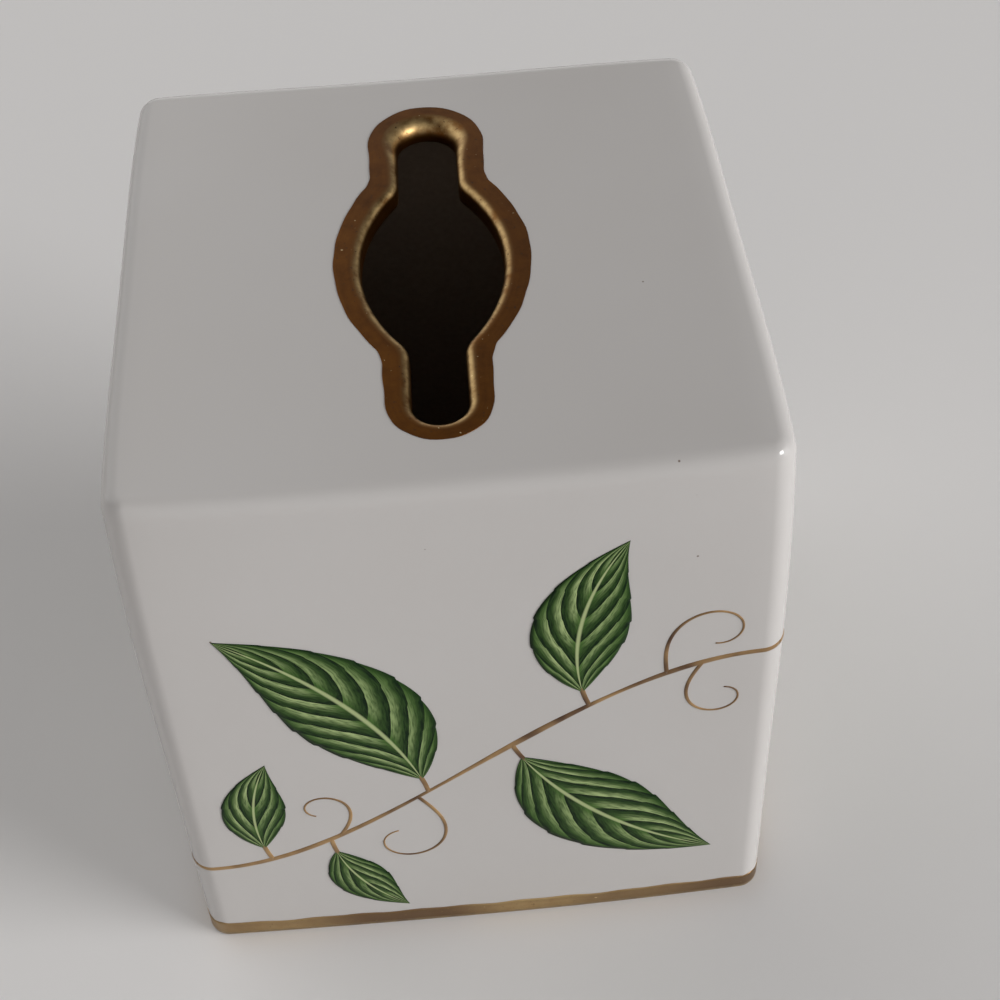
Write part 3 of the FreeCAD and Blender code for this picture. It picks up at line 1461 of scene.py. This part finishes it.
@dataclass(kw_only=True)
class FootGold(GoldFilm):
    """The gold line brushed round the foot, with an uneven upper edge."""

    width: float
    wobble: float = 0.45
    waves: tuple[int, ...] = (3, 5, 9, 14, 23, 47)
    seed: int = 23
    side_steps: int = 40
    rows: int = 5

    @classmethod
    def from_frame(cls, form: CoverForm) -> FootGold:
        """Takes the line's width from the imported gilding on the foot."""
        low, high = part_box("foot_gilding")
        return cls(form=form, width=(high.z - low.z) / MM)

    def skin(self, coat: float) -> list[np.ndarray]:
        """Draws one face of the film.

        Args:
            coat: How far it stands off the glaze.

        Returns:
            Rings of points, from the foot to the brushed edge.
        """
        form = self.form
        rows = []
        for share in np.linspace(0, 1, self.rows + 1):
            height = form.foot + self.width * share
            half = form.half_width(height) + coat
            ring = form.ring(half, form.corner_radius + coat, self.side_steps)
            places = np.arange(len(ring)) / len(ring)
            rise = share * hand_wobble(places, self.wobble, self.waves, self.seed)
            normals = level(outward(ring), 0)
            row = form.swell(level(ring, height), normals)
            rows.append(row - normals * (rise * form.slope)[:, None] + np.outer(rise, (0, 0, 1)))
        return rows

    def build(self) -> bpy.types.Object:
        """Draws the line."""
        return self.draw("foot_gold")

    def dress(self, piece: bpy.types.Object) -> None:
        """Gilds the line.

        Args:
            piece: The line.
        """
        finish = GoldLustre(
            "foot_gold_lustre",
            run=8 * self.form.foot_half,
            width=2 * self.width,
            # The pale tone of wear and painted highlight goes to the line's lower edge
            lip=0.0,
            lip_reach=0.1,
            # The colours below are the opening's lustre painted paler: a painted lighter copy for
            # the brighter light that the foot line catches
            gold="#C6AB7C",
            brown="#B4976A",
            worn="#9A8056",
            thick="#7E6349",
            thick_share=0.9,
            thick_spacing=70.0,
            thick_range=(0.6, 0.42),
            dull=0.4,
        )
        install(piece, finish.material(), "foot_gilding")


Line = Callable[[np.ndarray], np.ndarray]


def bent_line(base: np.ndarray, heading: float, length: float, bend: float) -> Line:
    """Makes a line that leaves base at a heading and turns evenly.

    Args:
        base: Its start: place along the side, and up it.
        heading: Its direction there, in radians.
        length: Its length.
        bend: How far it turns in all, in radians.

    Returns:
        A function from shares of the way to rows of place along, place up and heading.
    """

    def line(shares: np.ndarray) -> np.ndarray:
        """Finds places on the line.

        Args:
            shares: Shares of the way.

        Returns:
            Rows of place along, place up and heading.
        """
        now = heading + bend * shares
        along = base[0] + length / bend * (np.sin(now) - math.sin(heading))
        up = base[1] - length / bend * (np.cos(now) - math.cos(heading))
        return np.column_stack([along, up, now])

    return line


def curling_line(
    base: np.ndarray,
    heading: float,
    length: float,
    turn: float,
    steps: int = 2000,
) -> Line:
    """Makes a line that leaves base at a heading and curls tighter and tighter.

    Args:
        base: Its start: place along the side, and up it.
        heading: Its direction there, in radians.
        length: Its length.
        turn: How far it turns in all, in radians.
        steps: Straight steps that stand for the curl.

    Returns:
        A function from shares of the way to rows of place along, place up and heading.
    """
    marks = np.linspace(0, 1, steps + 1)
    headings = heading + turn * ((marks[1:] + marks[:-1]) / 2) ** 2
    along = base[0] + length / steps * np.concatenate([[0], np.cumsum(np.cos(headings))])
    up = base[1] + length / steps * np.concatenate([[0], np.cumsum(np.sin(headings))])

    def line(shares: np.ndarray) -> np.ndarray:
        """Finds places on the line.

        Args:
            shares: Shares of the way.

        Returns:
            Rows of place along, place up and heading.
        """
        places = [np.interp(shares, marks, values) for values in (along, up)]
        return np.column_stack([*places, heading + turn * shares**2])

    return line


def across(spine: np.ndarray, reach: np.ndarray) -> np.ndarray:
    """Finds places to the left and right of a line.

    Args:
        spine: Rows of place along, place up and heading.
        reach: How far to the left of each row, one column for each place.

    Returns:
        Places along and up, by row and column.
    """
    left = np.column_stack([-np.sin(spine[:, 2]), np.cos(spine[:, 2])])
    return spine[:, None, :2] + reach[:, :, None] * left[:, None, :]


@dataclass(frozen=True)
class Leaf:
    """One leaf: share of the stem's run, heading and bend in degrees, length and width."""

    share: float
    heading: float
    bend: float
    length: float
    width: float
    vein_spacing: float = 8.3

    @property
    def veins(self) -> int:
        """Number of side veins on each half."""
        return round(self.length / self.vein_spacing)


@dataclass(frozen=True)
class Tendril:
    """One tendril: share of the stem's run, heading and turn in degrees, and length."""

    share: float
    heading: float
    turn: float
    length: float


LEAVES = (
    Leaf(0.115, 106, -34, 33, 14),
    Leaf(0.23, -86, 36, 30, 13),
    Leaf(0.42, 98, 38, 65, 27),
    Leaf(0.575, -72, 38, 62, 26),
    Leaf(0.71, 110, -44, 47, 19.5),
)

TENDRILS = (
    Tendril(0.25, 62, 280, 29),
    Tendril(0.40, -58, -290, 44),
    Tendril(0.84, 96, -290, 40),
    Tendril(0.90, -116, 290, 33),
)


@dataclass
class PaintedVine:
    """The leaves, stem, stalks and tendrils, drawn flat once and then laid on each side."""

    form: CoverForm
    leaves: tuple[Leaf, ...] = LEAVES
    tendrils: tuple[Tendril, ...] = TENDRILS
    stem_low: float = 31.0
    stem_high: float = 95.0
    stem_width: float = 1.35
    stem_press: float = 0.3
    press_turns: float = 5.0
    press_start: float = 0.6
    stalk_width: float = 1.1
    stalk_length: float = 6.5
    stalk_shown: float = 0.8
    stalk_bend: float = 0.25
    tendril_width: float = 0.95
    tendril_taper: float = 0.6
    leaf_lean: float = 0.85
    leaf_point: float = 1.05
    leaf_film: float = 0.14
    leaf_crown: float = 0.1
    leaf_scallop: float = 0.035
    line_film: float = 0.16
    sunk: float = 0.1
    leaf_steps: tuple[int, int] = (84, 24)
    stem_points: int = 160
    stalk_points: int = 12
    tendril_points: int = 70
    line_columns: int = 8

    def flat_end(self, up: float) -> float:
        """How far along a side its flat runs, at a place up its slant."""
        return self.form.half_width(up * math.cos(self.form.draft)) - self.form.corner_radius

    def stem(self, shares: np.ndarray) -> np.ndarray:
        """Finds places on the stem, an even S from the low corner to the high one.

        Args:
            shares: Shares of the way along; below 0 and above 1 it runs on level round the corners.

        Returns:
            Rows of place along, place up and heading.
        """
        start = -self.flat_end(self.stem_low)
        span = self.flat_end(self.stem_high) - start
        climb = self.stem_high - self.stem_low
        on = np.clip(shares, 0, 1)
        up = self.stem_low + climb * on**2 * (3 - 2 * on)
        heading = np.arctan2(climb * 6 * on * (1 - on), span)
        return np.column_stack([start + span * shares, up, heading])

    def stalk(self, leaf: Leaf) -> Line:
        """Makes the stalk of a leaf.

        Args:
            leaf: The leaf.

        Returns:
            The stalk, from the stem on.
        """
        base = self.stem(np.array([leaf.share]))[0]
        bend = self.stalk_bend * math.radians(leaf.bend)
        return bent_line(base, math.radians(leaf.heading), self.stalk_length, bend)

    def draw_leaf(self, leaf: Leaf, number: int) -> bpy.types.Object:
        """Draws a leaf lying flat: a long oval, crowned, with an edge scalloped by the strokes.

        Args:
            leaf: The leaf.
            number: Its number on the vine.

        Returns:
            The piece.
        """
        along_steps, across_steps = self.leaf_steps
        base = self.stalk(leaf)(np.array([self.stalk_shown]))[0]
        midrib = bent_line(base, base[2], leaf.length, math.radians(leaf.bend))
        shares = np.linspace(0, 1, along_steps + 1)
        oval = np.maximum(0, np.sin(math.pi * shares**self.leaf_lean)) ** self.leaf_point
        half = leaf.width / 2 * oval
        half = half * (1 - self.leaf_scallop * np.mod(shares * leaf.veins, 1))
        out = np.linspace(1, -1, across_steps + 1)
        places = across(midrib(shares), half[:, None] * out)
        lift = self.leaf_film + self.leaf_crown * np.outer(half / half.max(), 1 - out**2)
        piece = loft(f"flat_leaf_{number}", np.concatenate([places, lift[:, :, None]], axis=2))
        bpy.ops.object.modifier_add(type="SOLIDIFY")
        film = piece.modifiers[0]
        film.thickness = (self.leaf_film + self.sunk) * MM
        film.offset = -1
        bpy.ops.object.modifier_apply(modifier=film.name)
        return piece

    def draw_line(self, spine: np.ndarray, half: np.ndarray) -> bpy.types.Object:
        """Draws one brushed line lying flat, rounded above and closed at its ends.

        Args:
            spine: Rows of place along, place up and heading.
            half: Half the line's width at each row.

        Returns:
            The piece.
        """
        over = np.cos(np.linspace(0, math.pi, self.line_columns))
        under = np.array([-1.0, 0.0, 1.0])
        rounded = self.line_film * np.sqrt(np.maximum(0, 1 - over**2))
        lift = np.concatenate([rounded, np.full(len(under), -self.sunk)])
        places = across(spine, half[:, None] * np.concatenate([over, under]))
        lifts = np.broadcast_to(lift[:, None], (*places.shape[:2], 1))
        rows = np.concatenate([places, lifts], axis=2)
        rows = np.concatenate([rows, rows[:, :1]], axis=1)
        ends = [np.broadcast_to(rows[end].mean(axis=0), rows[:1].shape) for end in (0, -1)]
        piece = loft("flat_line", np.concatenate([ends[0], rows, ends[1]]))
        face_outwards(piece)
        return piece

    def draw_lines(self) -> bpy.types.Object:
        """Draws the stem, the stalks and the tendrils as one piece lying flat.

        Returns:
            The piece.
        """
        start, end = (self.flat_end(up) for up in (self.stem_low, self.stem_high))
        round_corner = self.form.corner_radius * math.pi / 4 / (start + end)
        shares = np.linspace(-round_corner, 1 + round_corner, self.stem_points)
        swing = np.sin(math.pi * (self.press_turns * shares**2 + self.press_start))
        press = 1 + self.stem_press * swing * shares * (1 - shares) * 4
        lines = [self.draw_line(self.stem(shares), self.stem_width / 2 * press)]
        shares = np.linspace(0, 1, self.stalk_points)
        half = np.full(len(shares), self.stalk_width / 2)
        for leaf in self.leaves:
            lines.append(self.draw_line(self.stalk(leaf)(shares), half))
        shares = np.linspace(0, 1, self.tendril_points)
        half = self.tendril_width / 2 * (1 - self.tendril_taper * shares)
        for tendril in self.tendrils:
            base = self.stem(np.array([tendril.share]))[0]
            heading, turn = math.radians(tendril.heading), math.radians(tendril.turn)
            curl = curling_line(base, heading, tendril.length, turn)
            lines.append(self.draw_line(curl(shares), half))
        pick(*lines)
        bpy.ops.object.join()
        lines[0].name = lines[0].data.name = "flat_stem"
        return lines[0]

    def lay(self, drawn: bpy.types.Object, side: Side, name: str) -> bpy.types.Object:
        """Copies a flat piece and lays the copy on a side.

        Args:
            drawn: The flat piece.
            side: The side.
            name: Name of the copy.

        Returns:
            The copy.
        """
        pick(drawn)
        bpy.ops.object.duplicate()
        piece = bpy.context.object
        piece.name = piece.data.name = name
        put_points(piece, self.form.settled(self.form.on_side(side, get_points(piece))))
        face_outwards(piece)
        return piece

    def build(self) -> dict[str, bpy.types.Object]:
        """Draws the vine and lays it on all four sides.

        Returns:
            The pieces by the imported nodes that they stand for.
        """
        flat = {
            f"leaf_{number}": self.draw_leaf(leaf, number)
            for number, leaf in enumerate(self.leaves, 1)
        }
        flat["vine"] = self.draw_lines()
        laid = {}
        for side in Side:
            for part, drawn in flat.items():
                laid[f"{side.label}_{part}"] = self.lay(drawn, side, f"{side.label}_painted_{part}")
        for drawn in flat.values():
            bpy.data.objects.remove(drawn)
        return laid

    def dress(self, laid: dict[str, bpy.types.Object]) -> None:
        """Paints the pieces.

        Args:
            laid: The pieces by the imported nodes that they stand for.
        """
        greens = {
            f"leaf_{number}": LeafEnamel(f"green_leaf_enamel_{number}", leaf.veins).material()
            for number, leaf in enumerate(self.leaves, 1)
        }
        ochre = VineEnamel().material()
        for node, piece in laid.items():
            part = node.split("_", 1)[1]
            if part in greens:
                install(piece, greens[part], node)
            else:
                install(piece, ochre, node)


def towards(azimuth: float, elevation: float) -> Vector:
    """Finds a direction from the cover.

    Args:
        azimuth: Degrees from the front towards the right.
        elevation: Degrees above level.

    Returns:
        The unit direction.
    """
    turn, lift = math.radians(azimuth), math.radians(elevation)
    flat = math.cos(lift)
    return Vector((math.sin(turn) * flat, -math.cos(turn) * flat, math.sin(lift)))


@dataclass(frozen=True)
class Window:
    """A soft window in the surroundings: direction, degrees it reaches and fades to, strength."""

    azimuth: float
    elevation: float
    reach: float
    fade: float
    strength: float


class Lights(Enum):
    """What a lamp lights."""

    BODY_COLOUR = "body colour"
    GLOSS = "gloss"


@dataclass(frozen=True)
class FarLamp:
    """A lamp far off: its direction and angle across in degrees, its strength, what it lights."""

    azimuth: float
    elevation: float
    across: float
    strength: float
    lights: Lights

    def build(self) -> None:
        """Hangs the lamp."""
        bpy.ops.object.light_add(type="SUN")
        lamp = bpy.context.object
        lamp.data.angle = math.radians(self.across)
        lamp.data.energy = self.strength
        lamp.visible_glossy = self.lights is Lights.GLOSS
        lamp.visible_diffuse = self.lights is Lights.BODY_COLOUR
        aim = towards(self.azimuth, self.elevation).to_track_quat("Z", "Y")
        lamp.matrix_world = aim.to_matrix().to_4x4()


@dataclass
class Studio:
    """Pale floor, lamps, surroundings that darken upwards with soft windows in them, and camera."""

    lamps: tuple[FarLamp, ...] = (
        FarLamp(71.0, 14.0, across=36.0, strength=2.82, lights=Lights.BODY_COLOUR),
        FarLamp(54.0, 31.0, across=12.0, strength=2.2, lights=Lights.GLOSS),
    )
    windows: tuple[Window, ...] = (
        Window(70.0, 18.0, reach=9.0, fade=25.0, strength=1.2),
        Window(-130.0, 34.0, reach=10.0, fade=46.0, strength=1.0),
        Window(0.0, 34.0, reach=10.0, fade=45.0, strength=0.38),
        Window(180.0, 6.0, reach=10.0, fade=28.0, strength=0.9),
    )
    surroundings: str = "#FAF9F8"
    strength_at_horizon: float = 0.46
    strength_overhead: float = 0.04
    strength_seen: float = 0.54
    floor_size: float = 24.0
    camera_azimuth: float = -2.872
    camera_elevation: float = 49.12
    camera_roll: float = 2.722
    camera_distance: float = 0.375
    camera_target: tuple[float, float, float] = (0.0112, 0.0, 0.0734)
    lens: float = 57.96
    nearest: float = 0.01

    def floor(self) -> None:
        """Lays the floor."""
        bpy.ops.object.select_all(action="DESELECT")
        bpy.ops.mesh.primitive_plane_add(size=self.floor_size)
        floor = bpy.context.object
        floor.name = "floor"
        floor.data.materials.append(MattPaper().material())

    def light(self) -> None:
        """Hangs the lamps and sets the surroundings, shown to the camera as bright as the floor."""
        for lamp in self.lamps:
            lamp.build()
        world = bpy.context.scene.world or bpy.data.worlds.new("surroundings")
        bpy.context.scene.world = world
        world.use_nodes = True
        tree = world.node_tree
        tree.nodes.clear()
        heading = add(tree, "TexCoord").outputs["Generated"]
        height = add(tree, "SeparateXYZ", {0: heading}).outputs["Z"]
        strength = add(
            tree,
            "MapRange",
            {
                "Value": height,
                "To Min": self.strength_at_horizon,
                "To Max": self.strength_overhead,
            },
        ).outputs[0]
        for window in self.windows:
            middle = towards(window.azimuth, window.elevation)
            facing = add(tree, "VectorMath", {0: heading, 1: middle}, operation="DOT_PRODUCT")
            patch = add(
                tree,
                "MapRange",
                {
                    "Value": facing.outputs["Value"],
                    "From Min": math.cos(math.radians(window.fade)),
                    "From Max": math.cos(math.radians(window.reach)),
                    "To Max": window.strength,
                },
                interpolation_type="SMOOTHSTEP",
            )
            strength = add(
                tree,
                "Math",
                {0: patch.outputs[0], 1: strength},
                operation="ADD",
            ).outputs[0]
        seen = add(tree, "LightPath").outputs["Is Camera Ray"]
        shown = add(tree, "Mix", {"Factor": seen, "A": strength, "B": self.strength_seen})
        sky = add(
            tree,
            "Background",
            {"Color": colour(self.surroundings), "Strength": shown.outputs[0]},
        )
        add(tree, "OutputWorld", {"Surface": sky.outputs[0]})

    def camera(self) -> None:
        """Stands the camera where it sees the cover from above and in front, a little turned."""
        back = towards(self.camera_azimuth, self.camera_elevation)
        place = Vector(self.camera_target) + back * self.camera_distance
        roll = Matrix.Rotation(math.radians(-self.camera_roll), 4, "Z")
        bpy.ops.object.camera_add()
        camera = bpy.context.object
        camera.data.lens = self.lens
        camera.data.clip_start = self.nearest
        aim = back.to_track_quat("Z", "Y").to_matrix().to_4x4()
        camera.matrix_world = Matrix.Translation(place) @ aim @ roll
        bpy.context.scene.camera = camera

    def build(self) -> None:
        """Sets up the floor, the light, the camera and the plain view."""
        self.floor()
        self.light()
        self.camera()
        bpy.context.scene.view_settings.view_transform = "Standard"


def report(piece: bpy.types.Object) -> None:
    """Logs a finished piece."""
    log.info("%s: %d faces", piece.name, len(piece.data.polygons))


def main() -> None:
    """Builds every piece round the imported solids, and sets the stage."""
    logging.basicConfig(level=logging.INFO, format="%(message)s")
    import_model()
    form = CoverForm.from_frame()
    opening = Opening.from_frame()
    parts = (
        ClayBody.from_frame(form, opening),
        GlazedShell(form, opening, foot=form.foot),
        OpeningGold(form=form, opening=opening),
        FootGold.from_frame(form),
    )
    for part in parts:
        piece = part.build()
        part.dress(piece)
        report(piece)
    vine = PaintedVine(form)
    laid = vine.build()
    vine.dress(laid)
    for piece in laid.values():
        report(piece)
    Studio().build()


if __name__ == "__main__":
    main()
